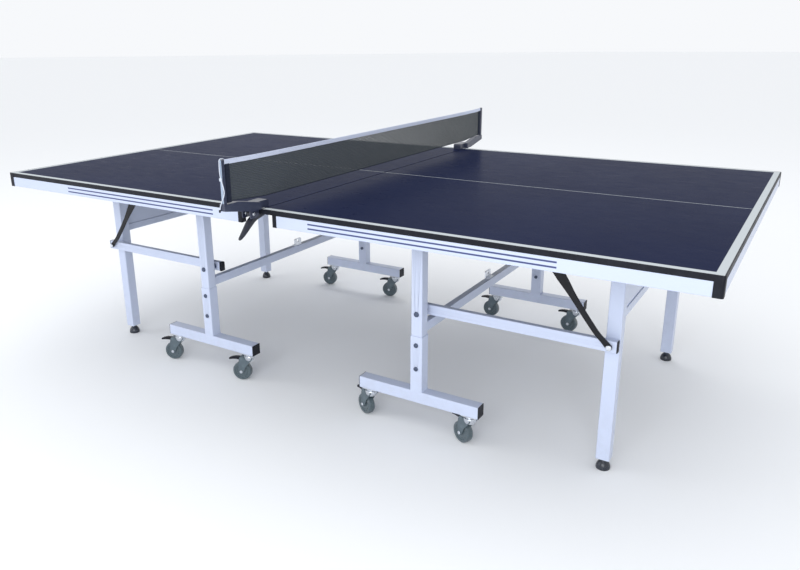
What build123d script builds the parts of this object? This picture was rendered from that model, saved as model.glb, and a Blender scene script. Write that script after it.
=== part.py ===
from build123d import *
from math import radians, tan
import os

# A full-size rollaway table tennis table: two folding halves on wheeled T frames, and a clip-on net.
# Frame: millimetres, origin on the floor under the middle of the table, +X along the table's length,
# +Y across it, +Z up. Everything is drawn for the right half (X > 0) and its near side (Y < 0),
# then mirrored to the other half and the other side.

os.makedirs("parts", exist_ok=True)

# ---------------------------------------------------------------- driving dimensions

# Playing surface
TABLE_LENGTH = 2740
TABLE_WIDTH = 1525
TABLE_HEIGHT = 760
PANEL_THICKNESS = 16
MIDDLE_GAP = 3            # from the net line to each half's inner edge
TRIM = 3                  # thickness of the black edge strip

# Top frame under the panel
APRON_HEIGHT = 39
APRON_DEPTH = 20
APRON_WALL = 1.5
APRON_START = {"left": 85, "right": 45}     # where the apron's black end cap begins, from the net line
APRON_CAP = 16
CORNER_CAP = 25
RAIL_OFFSET = 610         # long rails, from the table's centre line
RAIL_WIDTH = 20
RAIL_HEIGHT = 25
STIFFENER_X = (150, 1210)
STIFFENER_WIDTH = 40
STIFFENER_HEIGHT = 12

# Folding linkage: four pivots make a parallelogram in each side's plane
INNER_PIVOT_X = 472       # T post
OUTER_PIVOT_X = 1072      # leg
UPPER_PIVOT_Z = 712
ARM_PIVOT_Z = 429
PIVOT_R = 5
RUNNING = 0.05            # radial running clearance on every pivot
BRACKET_THICKNESS = 5
BRACKET_GAP = 2           # on each side of the post or leg it holds
BRACKET_HALF_LENGTH = 26
BRACKET_BOTTOM = 694
FLANGE = 6

# T frames
POST_Y = 560
POST_WIDTH = 40
POST_WALL = 2
POST_TOP = 724
SLEEVE_WIDTH = 44
SLEEVE_WALL = 1.8
SLEEVE_TOP = 352
BEAM_BOTTOM = 113
BEAM_SIZE = 42
BEAM_HALF_LENGTH = 227
BEAM_CAP = 14
POST_BOLT_Z = (237, 321)
CROSS_RAIL_WIDTH = 24
CROSS_RAIL_BOTTOM = 355
CROSS_RAIL_TOP = 388
LATCH_WIDTH = 46
LATCH_HEIGHT = 31          # the ear's top, above the cross rail
LATCH_HOLE_R = 7
LATCH_HOLE_Z = 410

# Legs
LEG_Y = 464
LEG_WIDTH = 42
LEG_TOP = 724
LEG_BOTTOM = 38
LEG_PANEL_BOTTOM = 506
LEG_PANEL_TOP = 640
LEG_PANEL_THICKNESS = 12
LEG_LIP_BOTTOM = 478
LEG_LIP_THICKNESS = 18
FOOT_R = 22

# Link arms and struts
ARM_Y = (501, 521)
ARM_HEIGHT = 35
ARM_START = 436
ARM_END = 1095
ARM_CAP = 10              # the cap on the inner end; the outer end has a thin lid
ARM_LID = 3
STRUT_Y = (525.5, 530.5)
STRUT_WIDTH = 15

# Casters
CASTER_X = (-190, 190)    # from the beam's middle
WHEEL_R = 37.5
WHEEL_WIDTH = 25
TRAIL = 32                # the wheels trail towards -X, each swivelled a little as it last rolled
SWIVEL = {"left_near": 20, "left_far": 12, "right_near": -24, "right_far": -5}

# Net
NET_TOP = 942
NET_BOTTOM = 800
BAND_HEIGHT = 15
NET_POST_Y = (918, 932)

# The net's white cord: its route over the near post and down its outer side
CORD_R = 1.5
CORD_Y = -934.8
CORD_ROUTE = [
    (0, -917.2, 943.6),
    (0, -923.5, 944.7),
    (0, -930.6, 944.6),
    (0, CORD_Y, 940.6),
    (-0.4, CORD_Y, 930),
    (-1.5, CORD_Y, 911),
    (1, CORD_Y, 887),
    (9, CORD_Y, 864),
    (13, CORD_Y, 842),
    (3, CORD_Y, 822),
    (-8, CORD_Y, 803),
    (-12, CORD_Y, 786),
]
CORD_BEND_SHARE = 0.45    # of the shorter run beside each bend, taken up by the bend itself

PANEL_BOTTOM = TABLE_HEIGHT - PANEL_THICKNESS
HALF_LENGTH = TABLE_LENGTH / 2
HALF_WIDTH = TABLE_WIDTH / 2
BEAM_TOP = BEAM_BOTTOM + BEAM_SIZE
POST_INNER = POST_Y - POST_WIDTH / 2
POST_OUTER = POST_Y + POST_WIDTH / 2
LEG_INNER = LEG_Y - LEG_WIDTH / 2
LEG_OUTER = LEG_Y + LEG_WIDTH / 2


# ---------------------------------------------------------------- shape helpers

def block(x, y, z, round_z=0):
    """A box between three (low, high) pairs, its upright edges rounded if asked."""
    width, depth, height = x[1] - x[0], y[1] - y[0], z[1] - z[0]
    outline = RectangleRounded(width, depth, round_z) if round_z else Rectangle(width, depth)
    face = Pos((x[0] + x[1]) / 2, (y[0] + y[1]) / 2, z[0]) * outline
    return extrude(face, amount=height, dir=(0, 0, 1))


def tube_outline(width, height, wall, corner):
    """The cross-section of a rectangular steel tube with rounded corners."""
    outside = RectangleRounded(width, height, corner)
    inside = RectangleRounded(width - 2 * wall, height - 2 * wall, max(corner - wall, 0.4))
    return outside - inside


def tube_x(x, y, z, wall, corner=3):
    """A rectangular tube running along X."""
    start = Plane(origin=(x[0], (y[0] + y[1]) / 2, (z[0] + z[1]) / 2), x_dir=(0, 1, 0), z_dir=(1, 0, 0))
    return extrude(start * tube_outline(y[1] - y[0], z[1] - z[0], wall, corner), amount=x[1] - x[0])


def tube_y(x, y, z, wall, corner=3):
    """A rectangular tube running along Y."""
    start = Plane(origin=((x[0] + x[1]) / 2, y[0], (z[0] + z[1]) / 2), x_dir=(1, 0, 0), z_dir=(0, 1, 0))
    return extrude(start * tube_outline(x[1] - x[0], z[1] - z[0], wall, corner), amount=y[1] - y[0])


def tube_z(x, y, z, wall, corner=3):
    """A rectangular tube standing along Z."""
    start = Plane(origin=((x[0] + x[1]) / 2, (y[0] + y[1]) / 2, z[0]))
    return extrude(start * tube_outline(x[1] - x[0], y[1] - y[0], wall, corner), amount=z[1] - z[0])


def rod_y(x, z, y, radius):
    """A round bar along Y."""
    start = Plane(origin=(x, y[0], z), x_dir=(1, 0, 0), z_dir=(0, 1, 0))
    return extrude(start * Circle(radius), amount=y[1] - y[0])


def rod_x(y, z, x, radius):
    """A round bar along X."""
    start = Plane(origin=(x[0], y, z), x_dir=(0, 1, 0), z_dir=(1, 0, 0))
    return extrude(start * Circle(radius), amount=x[1] - x[0])


def rod_z(x, y, z, radius):
    """A round bar along Z."""
    return extrude(Pos(x, y, z[0]) * Circle(radius), amount=z[1] - z[0])


def side_plate(points, y, rounding=0):
    """A flat plate drawn by its corners in X and Z, between two Y values."""
    start = Plane(origin=(0, y[0], 0), x_dir=(1, 0, 0), z_dir=(0, -1, 0))
    face = start * make_face(Polyline(*points, close=True))
    plate = extrude(face, amount=-(y[1] - y[0]))
    return fillet(plate.edges().filter_by(Axis.Y), rounding) if rounding else plate


def cross_plate(points, x, rounding=0):
    """A flat plate drawn by its corners in Y and Z, between two X values."""
    start = Plane(origin=(x[0], 0, 0), x_dir=(0, 1, 0), z_dir=(1, 0, 0))
    face = start * make_face(Polyline(*points, close=True))
    plate = extrude(face, amount=x[1] - x[0])
    return fillet(plate.edges().filter_by(Axis.X), rounding) if rounding else plate


def outer_y(low, high):
    """Near-side Y values for a piece given by its distances from the centre line."""
    return (-high, -low)


def other_side(solid):
    """The same piece on the far side of the table."""
    return mirror(solid, about=Plane.XZ)


def both_sides(solids):
    """Near-side pieces and their far-side twins."""
    return solids + [other_side(solid) for solid in solids]


def save(node, solids):
    """Write one node: all its solids in one STEP file."""
    pieces = [piece for solid in solids for piece in solid.solids()]
    export_step(Compound(label=node, children=pieces), f"parts/{node}.step")


def save_half(side, node, solids):
    """Write a right-half node as drawn, or mirrored for the left half."""
    if side == "left":
        solids = [mirror(solid, about=Plane.YZ) for solid in solids]
    save(f"{side}_{node}", solids)


# ---------------------------------------------------------------- table top

def panel():
    """The playing board, inside its edge strips."""
    across = HALF_WIDTH - TRIM
    return [block((MIDDLE_GAP, HALF_LENGTH - TRIM), (-across, across), (PANEL_BOTTOM, TABLE_HEIGHT))]


def corner_cap():
    """Black moulded cap round the near outer corner, cut away for the board."""
    proud = 1
    x = (HALF_LENGTH - CORNER_CAP + proud, HALF_LENGTH + proud)
    y = outer_y(HALF_WIDTH - CORNER_CAP + proud, HALF_WIDTH + proud)
    cap = block(x, y, (PANEL_BOTTOM - APRON_HEIGHT - 0.5, TABLE_HEIGHT))
    outer_edge = cap.edges().filter_by(Axis.Z).sort_by(SortBy.DISTANCE)[-1]
    cap = fillet(outer_edge, 7)
    board = block((0, HALF_LENGTH - TRIM), (-HALF_WIDTH + TRIM, 0), (PANEL_BOTTOM, TABLE_HEIGHT + 1))
    return cap - board


def apron_end_cap(start):
    """Black plug that closes the apron's end beside the net."""
    y = outer_y(HALF_WIDTH - APRON_DEPTH, HALF_WIDTH + 0.5)
    return block((start, start + APRON_CAP), y, (PANEL_BOTTOM - APRON_HEIGHT - 0.5, PANEL_BOTTOM))


def edge_trim(side):
    """Black strips along the board's long edges and outer end, with their caps."""
    corner_inner = HALF_WIDTH - CORNER_CAP + 1
    height = (PANEL_BOTTOM, TABLE_HEIGHT)
    long_x = (MIDDLE_GAP, HALF_LENGTH - CORNER_CAP + 1)
    long_strip = block(long_x, outer_y(HALF_WIDTH - TRIM, HALF_WIDTH), height)
    end_strip = block((HALF_LENGTH - TRIM, HALF_LENGTH), (-corner_inner, corner_inner), height)
    return [end_strip] + both_sides([long_strip, corner_cap(), apron_end_cap(APRON_START[side])])


def pivot_bracket(pivot_x, inner, outer):
    """An upside-down U that holds a post or a leg by its pivot, under the board."""
    gap = BRACKET_GAP
    x = (pivot_x - BRACKET_HALF_LENGTH, pivot_x + BRACKET_HALF_LENGTH)
    height = (BRACKET_BOTTOM, PANEL_BOTTOM)
    wide = (inner - gap - BRACKET_THICKNESS, outer + gap + BRACKET_THICKNESS)
    bracket = block(x, outer_y(*wide), height)
    bracket -= block(x, outer_y(inner - gap, outer + gap), (BRACKET_BOTTOM, PANEL_BOTTOM - FLANGE))
    lower_edges = bracket.edges().filter_by(Axis.Y).group_by(Axis.Z)[0]
    bracket = fillet(lower_edges, 12)
    return bracket - rod_y(pivot_x, UPPER_PIVOT_Z, outer_y(*wide), PIVOT_R + RUNNING)


def strut_keeper():
    """The stop block that the strut's upper end bears on."""
    return block((889, 907), outer_y(520, 536), (704, PANEL_BOTTOM), round_z=2)


def top_frame(side):
    """The welded steel frame under the board: aprons, long rails, stiffeners and brackets."""
    apron_z = (PANEL_BOTTOM - APRON_HEIGHT, PANEL_BOTTOM)
    start = APRON_START[side] + APRON_CAP
    end = HALF_LENGTH - CORNER_CAP + 1
    corner_inner = HALF_WIDTH - CORNER_CAP + 1
    long_apron = tube_x((start, end), outer_y(HALF_WIDTH - APRON_DEPTH, HALF_WIDTH), apron_z, APRON_WALL, 2)
    rail_y = outer_y(RAIL_OFFSET - RAIL_WIDTH / 2, RAIL_OFFSET + RAIL_WIDTH / 2)
    first_stiffener_end = STIFFENER_X[0] + STIFFENER_WIDTH / 2
    last_stiffener_start = STIFFENER_X[1] - STIFFENER_WIDTH / 2
    rail_x = (first_stiffener_end, last_stiffener_start)
    long_rail = tube_x(rail_x, rail_y, (PANEL_BOTTOM - RAIL_HEIGHT, PANEL_BOTTOM), APRON_WALL, 2)
    near_side = [
        long_apron,
        long_rail,
        pivot_bracket(INNER_PIVOT_X, POST_INNER, POST_OUTER),
        pivot_bracket(OUTER_PIVOT_X, LEG_INNER, LEG_OUTER),
        strut_keeper(),
    ]
    end_x = (HALF_LENGTH - APRON_DEPTH, HALF_LENGTH)
    end_apron = tube_y(end_x, (-corner_inner, corner_inner), apron_z, APRON_WALL, 2)
    apron_inner = HALF_WIDTH - APRON_DEPTH
    stiffeners = [
        tube_y(
            (x - STIFFENER_WIDTH / 2, x + STIFFENER_WIDTH / 2),
            (-apron_inner, apron_inner),
            (PANEL_BOTTOM - STIFFENER_HEIGHT, PANEL_BOTTOM),
            APRON_WALL,
            2,
        )
        for x in STIFFENER_X
    ]
    return [end_apron] + stiffeners + both_sides(near_side)


# ---------------------------------------------------------------- wheeled T frames

def kingpin_centres():
    """X positions of the two casters under a beam of the right half."""
    return [INNER_PIVOT_X + offset for offset in CASTER_X]


def t_frame():
    """Near T frame: foot beam, socket sleeve and the square post that stands in it."""
    beam_x = (INNER_PIVOT_X - BEAM_HALF_LENGTH + 2, INNER_PIVOT_X + BEAM_HALF_LENGTH - 2)
    beam_y = outer_y(POST_Y - BEAM_SIZE / 2, POST_Y + BEAM_SIZE / 2)
    beam = tube_x(beam_x, beam_y, (BEAM_BOTTOM, BEAM_TOP), POST_WALL)
    half = SLEEVE_WIDTH / 2
    sleeve = tube_z(
        (INNER_PIVOT_X - half, INNER_PIVOT_X + half), outer_y(POST_Y - half, POST_Y + half),
        (BEAM_TOP, SLEEVE_TOP), SLEEVE_WALL,
    )
    half = POST_WIDTH / 2
    post = tube_z(
        (INNER_PIVOT_X - half, INNER_PIVOT_X + half), outer_y(POST_INNER, POST_OUTER),
        (BEAM_TOP, POST_TOP), POST_WALL,
    )
    reach = outer_y(POST_INNER - 10, POST_OUTER + 10)
    for z in POST_BOLT_Z:
        hole = rod_y(INNER_PIVOT_X, z, reach, 4 + RUNNING)
        sleeve -= hole
        post -= hole
    for z in (ARM_PIVOT_Z, UPPER_PIVOT_Z):
        post -= rod_y(INNER_PIVOT_X, z, reach, PIVOT_R + RUNNING)
    return [beam, sleeve, post]


def cross_rail():
    """The rail that ties the two T posts together."""
    half = CROSS_RAIL_WIDTH / 2
    reach = POST_INNER
    return [
        tube_y(
            (INNER_PIVOT_X - half, INNER_PIVOT_X + half), (-reach, reach),
            (CROSS_RAIL_BOTTOM, CROSS_RAIL_TOP), POST_WALL, 2,
        )
    ]


def chassis_caps():
    """Black plugs in the four ends of the two foot beams."""
    half = BEAM_SIZE / 2
    y = outer_y(POST_Y - half, POST_Y + half)
    plug_y = outer_y(POST_Y - half + POST_WALL + 0.6, POST_Y + half - POST_WALL - 0.6)
    plug_z = (BEAM_BOTTOM + POST_WALL + 0.6, BEAM_TOP - POST_WALL - 0.6)
    caps = []
    for direction in (-1, 1):
        rim = INNER_PIVOT_X + direction * (BEAM_HALF_LENGTH - 2)
        tip = rim + direction * 2
        root = rim - direction * BEAM_CAP
        lid = block(tuple(sorted((rim, tip))), y, (BEAM_BOTTOM, BEAM_TOP))
        plug = block(tuple(sorted((root, rim))), plug_y, plug_z)
        caps.append(lid + plug)
    return both_sides(caps)


def post_bolt(z):
    """A domed bolt right through the sleeve and post, with its nut inside the frame."""
    outer = POST_Y + SLEEVE_WIDTH / 2
    inner = POST_Y - SLEEVE_WIDTH / 2
    shank = rod_y(INNER_PIVOT_X, z, outer_y(inner, outer), 4)
    head = rod_y(INNER_PIVOT_X, z, outer_y(outer, outer + 4.5), 8)
    head = fillet(head.edges().sort_by(Axis.Y)[0], 3)
    nut_start = Plane(origin=(INNER_PIVOT_X, -inner, z), x_dir=(1, 0, 0), z_dir=(0, 1, 0))
    nut = extrude(nut_start * RegularPolygon(7.5, 6), amount=6)
    return shank + head + nut


def upper_rivet():
    """Flat-headed shoulder rivet at the top of the post, through its bracket."""
    inner = POST_INNER - BRACKET_GAP - BRACKET_THICKNESS
    outer = POST_OUTER + BRACKET_GAP + BRACKET_THICKNESS
    shank = rod_y(INNER_PIVOT_X, UPPER_PIVOT_Z, outer_y(inner - 0.2, outer + 0.3), PIVOT_R)
    inner_head = rod_y(INNER_PIVOT_X, UPPER_PIVOT_Z, outer_y(inner - 1.7, inner - 0.2), 9)
    outer_head = rod_y(INNER_PIVOT_X, UPPER_PIVOT_Z, outer_y(outer + 0.3, outer + 5), 9)
    return shank + inner_head + outer_head


def arm_pivot_bolt():
    """The post's bolt that the link arm swings on, with a spacer between them."""
    arm_inner, arm_outer = ARM_Y
    shank = rod_y(INNER_PIVOT_X, ARM_PIVOT_Z, outer_y(arm_inner - 0.5, POST_OUTER), PIVOT_R)
    head = rod_y(INNER_PIVOT_X, ARM_PIVOT_Z, outer_y(POST_OUTER, POST_OUTER + 4.5), 9)
    head = fillet(head.edges().sort_by(Axis.Y)[0], 3)
    spacer = rod_y(INNER_PIVOT_X, ARM_PIVOT_Z, outer_y(arm_outer + 0.3, POST_INNER), 10)
    nut = rod_y(INNER_PIVOT_X, ARM_PIVOT_Z, outer_y(arm_inner - 7, arm_inner - 0.5), 8.5)
    return shank + head + spacer + nut


def caster_plate(x):
    """The fixed plate of one caster, screwed under the beam, with its kingpin."""
    plate_y = outer_y(POST_Y - 19, POST_Y + 19)
    plate = block((x - 27, x + 27), plate_y, (BEAM_BOTTOM - 3, BEAM_BOTTOM), round_z=4)
    race = rod_z(x, -POST_Y, (BEAM_BOTTOM - 8, BEAM_BOTTOM - 3), 17)
    kingpin = rod_z(x, -POST_Y, (BEAM_BOTTOM - 20, BEAM_BOTTOM - 8), 5)
    return plate + race + kingpin


def latch_bracket():
    """The zinc catch in the middle of the cross rail: a plate with a round-cornered ear and a hole."""
    half = LATCH_WIDTH / 2
    base_x = (INNER_PIVOT_X - 8, INNER_PIVOT_X + 8)
    base = block(base_x, (-half - 3, half + 3), (CROSS_RAIL_TOP, CROSS_RAIL_TOP + 3))
    ear_z = (CROSS_RAIL_TOP + 3, CROSS_RAIL_TOP + LATCH_HEIGHT)
    ear = block((INNER_PIVOT_X - 8, INNER_PIVOT_X - 4), (-half, half), ear_z)
    ear = fillet(ear.edges().filter_by(Axis.X).group_by(Axis.Z)[-1], 7)
    ear -= rod_x(0, LATCH_HOLE_Z, (INNER_PIVOT_X - 9, INNER_PIVOT_X - 3), LATCH_HOLE_R)
    return base + ear


def chassis_fittings():
    """Bolts, rivets, caster plates and the latch bracket of one half's wheeled frame."""
    near_side = [post_bolt(z) for z in POST_BOLT_Z]
    near_side += [upper_rivet(), arm_pivot_bolt()]
    near_side += [caster_plate(x) for x in kingpin_centres()]
    return [latch_bracket()] + both_sides(near_side)


# ---------------------------------------------------------------- folding legs

def leg_frame():
    """Two legs joined by a wide panel with a thicker lip along its lower edge."""
    half = LEG_WIDTH / 2
    x = (OUTER_PIVOT_X - half, OUTER_PIVOT_X + half)
    y = outer_y(LEG_INNER, LEG_OUTER)
    leg = tube_z(x, y, (LEG_BOTTOM + 3, LEG_TOP), POST_WALL)
    bolt_reach = outer_y(LEG_INNER - 5, LEG_OUTER + 5)
    for z in (UPPER_PIVOT_Z, ARM_PIVOT_Z):
        leg -= rod_y(OUTER_PIVOT_X, z, bolt_reach, PIVOT_R + RUNNING)
    foot_plate = block(x, y, (LEG_BOTTOM, LEG_BOTTOM + 3), round_z=3)
    foot_plate -= rod_z(OUTER_PIVOT_X, -LEG_Y, (LEG_BOTTOM - 1, LEG_BOTTOM + 4), 6 + RUNNING)
    thin = LEG_PANEL_THICKNESS / 2
    thick = LEG_LIP_THICKNESS / 2
    cross_y = (-LEG_INNER, LEG_INNER)
    panel_x = (OUTER_PIVOT_X - thin, OUTER_PIVOT_X + thin)
    cross_panel = tube_y(panel_x, cross_y, (LEG_PANEL_BOTTOM, LEG_PANEL_TOP), APRON_WALL, 2)
    lip_x = (OUTER_PIVOT_X - thick, OUTER_PIVOT_X + thick)
    lip = tube_y(lip_x, cross_y, (LEG_LIP_BOTTOM, LEG_PANEL_BOTTOM), APRON_WALL, 2)
    return [cross_panel, lip] + both_sides([leg, foot_plate])


def feet():
    """Levelling feet: a black dome on a threaded stem, screwed into each leg."""
    x, y = OUTER_PIVOT_X, -LEG_Y
    skirt = Pos(x, y, 4) * Cylinder(FOOT_R, 8)
    dome = Pos(x, y, 8 + 9) * Cone(FOOT_R, 14, 18)
    neck = rod_z(x, y, (26, 34), 11)
    stem = rod_z(x, y, (34, LEG_BOTTOM + 40), 6)
    return both_sides([skirt + dome + neck + stem])


def leg_bolts():
    """The leg's own two pivots: one in its bracket, one for the link arm and strut."""
    bracket_inner = LEG_INNER - BRACKET_GAP - BRACKET_THICKNESS
    bracket_outer = LEG_OUTER + BRACKET_GAP + BRACKET_THICKNESS
    upper = rod_y(OUTER_PIVOT_X, UPPER_PIVOT_Z, outer_y(bracket_inner - 0.3, bracket_outer + 0.3), PIVOT_R)
    upper += rod_y(OUTER_PIVOT_X, UPPER_PIVOT_Z, outer_y(bracket_inner - 5, bracket_inner - 0.3), 9)
    upper += rod_y(OUTER_PIVOT_X, UPPER_PIVOT_Z, outer_y(bracket_outer + 0.3, bracket_outer + 5), 9)
    lower = rod_y(OUTER_PIVOT_X, ARM_PIVOT_Z, outer_y(LEG_INNER, STRUT_Y[1] + 0.3), PIVOT_R)
    lower += rod_y(OUTER_PIVOT_X, ARM_PIVOT_Z, outer_y(LEG_OUTER, ARM_Y[0] - 0.3), 10)
    lower += rod_y(OUTER_PIVOT_X, ARM_PIVOT_Z, outer_y(LEG_INNER - 6, LEG_INNER), 9)
    head = rod_y(OUTER_PIVOT_X, ARM_PIVOT_Z, outer_y(STRUT_Y[1] + 0.3, STRUT_Y[1] + 6), 8.5)
    head = fillet(head.edges().sort_by(Axis.Y)[0], 3)
    return both_sides([upper, lower + head])


# ---------------------------------------------------------------- link arms and struts

def arms():
    """The long link arms, bored for the pivots at the post and the leg."""
    half = ARM_HEIGHT / 2
    arm_x = (ARM_START + ARM_CAP, ARM_END - ARM_LID)
    arm = tube_x(arm_x, outer_y(*ARM_Y), (ARM_PIVOT_Z - half, ARM_PIVOT_Z + half), APRON_WALL, 2)
    reach = outer_y(ARM_Y[0] - 3, ARM_Y[1] + 3)
    for x in (INNER_PIVOT_X, OUTER_PIVOT_X):
        arm -= rod_y(x, ARM_PIVOT_Z, reach, PIVOT_R + RUNNING)
    return both_sides([arm])


def arm_caps():
    """A black cap on each link arm's inner end, and a thin lid on its outer end."""
    half = ARM_HEIGHT / 2
    z = (ARM_PIVOT_Z - half, ARM_PIVOT_Z + half)
    caps = [
        block((ARM_START, ARM_START + ARM_CAP), outer_y(*ARM_Y), z),
        block((ARM_END - ARM_LID, ARM_END), outer_y(*ARM_Y), z),
    ]
    return both_sides(caps)


def strut():
    """A flat black bar bent at a knee, with a broad head that bears on the keeper."""
    knee = (1034, 466)
    neck = (941, 598)
    y = outer_y(*STRUT_Y)
    line = Polyline((OUTER_PIVOT_X, ARM_PIVOT_Z), knee, neck)
    start = Plane(origin=(0, y[0], 0), x_dir=(1, 0, 0), z_dir=(0, -1, 0))
    bar = extrude(start * trace(line, STRUT_WIDTH), amount=-(y[1] - y[0]))
    eye = rod_y(OUTER_PIVOT_X, ARM_PIVOT_Z, y, 10)
    head_corners = [(949, 602), (878, 714), (862, 722), (846, 716), (850, 690), (892, 624), (932, 588)]
    head = side_plate(head_corners, y, 3)
    whole = bar + eye + head
    return whole - rod_y(OUTER_PIVOT_X, ARM_PIVOT_Z, (y[0] - 1, y[1] + 1), PIVOT_R + RUNNING)


def struts():
    """The near and far struts."""
    return both_sides([strut()])


# ---------------------------------------------------------------- casters

CHEEK_GAP = 28
CHEEK = 2.5
FORK_TOP = BEAM_BOTTOM - 8.5
PEDAL_PIN = (-28, FORK_TOP - 15.5)     # from the kingpin's axis, and height
PEDAL_PIN_R = 2.5


def caster_fork():
    """A pressed-steel swivel fork about the kingpin: a round crown and two cheeks that carry the axle."""
    reach = CHEEK_GAP / 2 + CHEEK
    kingpin_hole = rod_z(0, 0, (FORK_TOP - 10, FORK_TOP + 1), PIVOT_R + RUNNING)
    crown = rod_z(0, 0, (FORK_TOP - 9, FORK_TOP), 21)
    crown = fillet(crown.edges().sort_by(Axis.Z)[-1], 3)
    bridge = block((-36, 17), (-reach, reach), (FORK_TOP - 9, FORK_TOP - 5))
    fork = (crown + bridge) - kingpin_hole
    cheek_corners = [
        (-TRAIL - 9, WHEEL_R - 9),
        (-TRAIL + 8, WHEEL_R - 9),
        (17, FORK_TOP - 14),
        (17, FORK_TOP - 5),
        (-36, FORK_TOP - 5),
        (-38, FORK_TOP - 20),
    ]
    for low in (-reach, CHEEK_GAP / 2):
        fork += side_plate(cheek_corners, (low, low + CHEEK), 4)
    fork -= rod_y(PEDAL_PIN[0], PEDAL_PIN[1], (-reach - 1, reach + 1), PEDAL_PIN_R + RUNNING)
    axle = rod_y(-TRAIL, WHEEL_R, (-reach, reach), 4)
    heads = rod_y(-TRAIL, WHEEL_R, (-reach - 4, -reach), 6.5)
    heads += rod_y(-TRAIL, WHEEL_R, (reach, reach + 4), 6.5)
    return fork + axle + heads


def caster_wheel():
    """A solid wheel with a rounded tread, a recessed web and a hub round the axle."""
    half = WHEEL_WIDTH / 2
    tyre = rod_y(-TRAIL, WHEEL_R, (-half, half), WHEEL_R)
    tyre = fillet(tyre.edges().filter_by(GeomType.CIRCLE), 4)
    for low, high in ((-half - 1, -half + 6), (half - 6, half + 1)):
        tyre -= rod_y(-TRAIL, WHEEL_R, (low, high), 27)
    hub = rod_y(-TRAIL, WHEEL_R, (-half - 1, half + 1), 9)
    return (tyre + hub) - rod_y(-TRAIL, WHEEL_R, (-half - 3, half + 3), 4 + RUNNING)


def caster_pedal():
    """The brake pedal: a black tread plate behind the crown, hinged between the cheeks."""
    pin_x, pin_z = PEDAL_PIN
    corners = [
        (pin_x + 5, pin_z - 4),
        (pin_x + 5, pin_z + 4),
        (pin_x - 12, pin_z + 5),
        (pin_x - 54, pin_z - 2),
        (pin_x - 58, pin_z - 8),
        (pin_x - 14, pin_z - 4),
    ]
    half = CHEEK_GAP / 2 - 0.5
    plate = side_plate(corners, (-half, half), 2)
    reach = CHEEK_GAP / 2 + CHEEK + 0.5
    return plate + rod_y(pin_x, pin_z, (-reach, reach), PEDAL_PIN_R)


def save_casters():
    """Four casters under each half: every fork, wheel and pedal is a node of its own."""
    parts = {"fork": caster_fork(), "wheel": caster_wheel(), "pedal": caster_pedal()}
    for side, sign in (("left", -1), ("right", 1)):
        for row, y in (("near", -POST_Y), ("far", POST_Y)):
            for place, kingpin in zip(("inner", "outer"), kingpin_centres()):
                swivelled = Pos(sign * kingpin, y, 0) * Rot(0, 0, SWIVEL[f"{side}_{row}"])
                for part, shape in parts.items():
                    save(f"{side}_{row}_{place}_{part}", [swivelled * shape])


# ---------------------------------------------------------------- net

CLAMP_X = (-44, -7)       # the clamps grip the left half only
CLAMP_PIN = (790, 748)    # lever pivot: distance from the centre line, and height
EAR = 4
LEVER_X = (-33.5, -17.5)


def net_clamp():
    """Near clamp: upper jaw, two ears for the lever, the rising arm and the upright post."""
    jaw = block(CLAMP_X, outer_y(716, 806), (TABLE_HEIGHT + 0.2, 784))
    jaw = fillet(jaw.edges().filter_by(Axis.X).group_by(Axis.Z)[-1].sort_by(Axis.Y)[-1], 8)
    ear_corners = [(-806, 770), (-765, 770), (-765, 738), (-777, 734), (-803, 734), (-806, 742)]
    whole = jaw
    for low in (CLAMP_X[0], CLAMP_X[1] - EAR):
        whole += cross_plate(ear_corners, (low, low + EAR))
    arm_corners = [(-766, 761), (-766, 784), (-872, 806), (-932, 806), (-932, 786), (-806, 762)]
    whole += cross_plate(arm_corners, (-14, 7))
    whole += block((-14, 0), outer_y(766, 806), (762, 784))
    post = block((-5, 5), outer_y(*NET_POST_Y), (790, NET_TOP), round_z=2)
    whole += fillet(post.edges().group_by(Axis.Z)[-1], 1.9)
    whole += rod_x(-CLAMP_PIN[0], CLAMP_PIN[1], CLAMP_X, 4)
    return whole


def net_lever():
    """Near spring lever: the lower jaw under the board and a curved handle that hangs below."""
    corners = [
        (-718, 743.6),
        (-765, 743.6),
        (-781, 756),
        (-797, 756),
        (-803, 742),
        (-806, 722),
        (-822, 700),
        (-846, 680),
        (-845, 674),
        (-838, 671),
        (-815, 684),
        (-785, 703),
        (-752, 719),
        (-718, 729),
    ]
    lever = cross_plate(corners, LEVER_X, 2)
    return lever - rod_x(-CLAMP_PIN[0], CLAMP_PIN[1], (-60, 10), 4 + RUNNING)


def net_mesh():
    """The net's body with a sleeve at each end."""
    reach = NET_POST_Y[0] - 4
    end = reach - 20
    level = HALF_WIDTH - 22
    top = NET_TOP - BAND_HEIGHT
    end_bottom = NET_BOTTOM + 12
    corners = [
        (-end, top),
        (end, top),
        (end, end_bottom),
        (level, NET_BOTTOM),
        (-level, NET_BOTTOM),
        (-end, end_bottom),
    ]
    mesh = cross_plate(corners, (-0.5, 0.5))
    sleeve = block((-5, 5), outer_y(end, reach), (end_bottom - 3, top), round_z=3)
    return [mesh] + both_sides([sleeve])


def net_band():
    """The white tape along the net's top."""
    reach = NET_POST_Y[0] - 2
    return [block((-2, 2), (-reach, reach), (NET_TOP - BAND_HEIGHT, NET_TOP - 0.5))]


def net_cord():
    """The net's white cord: over the near post's top, then slack down its outer side."""
    radii = []
    for before, corner, after in zip(CORD_ROUTE, CORD_ROUTE[1:], CORD_ROUTE[2:]):
        run_in = Vector(corner) - Vector(before)
        run_out = Vector(after) - Vector(corner)
        half_turn = radians(run_in.get_angle(run_out) / 2)
        radii.append(CORD_BEND_SHARE * min(run_in.length, run_out.length) / tan(half_turn))
    print("cord radii", [round(radius, 1) for radius in radii])
    run = FilletPolyline(*CORD_ROUTE, radius=radii)
    start = Plane(origin=run @ 0, z_dir=run % 0)
    cord = sweep(start * Circle(CORD_R), path=run)
    print("cord length", round(run.length, 1), "volume", round(cord.volume, 1))
    return [cord]


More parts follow.
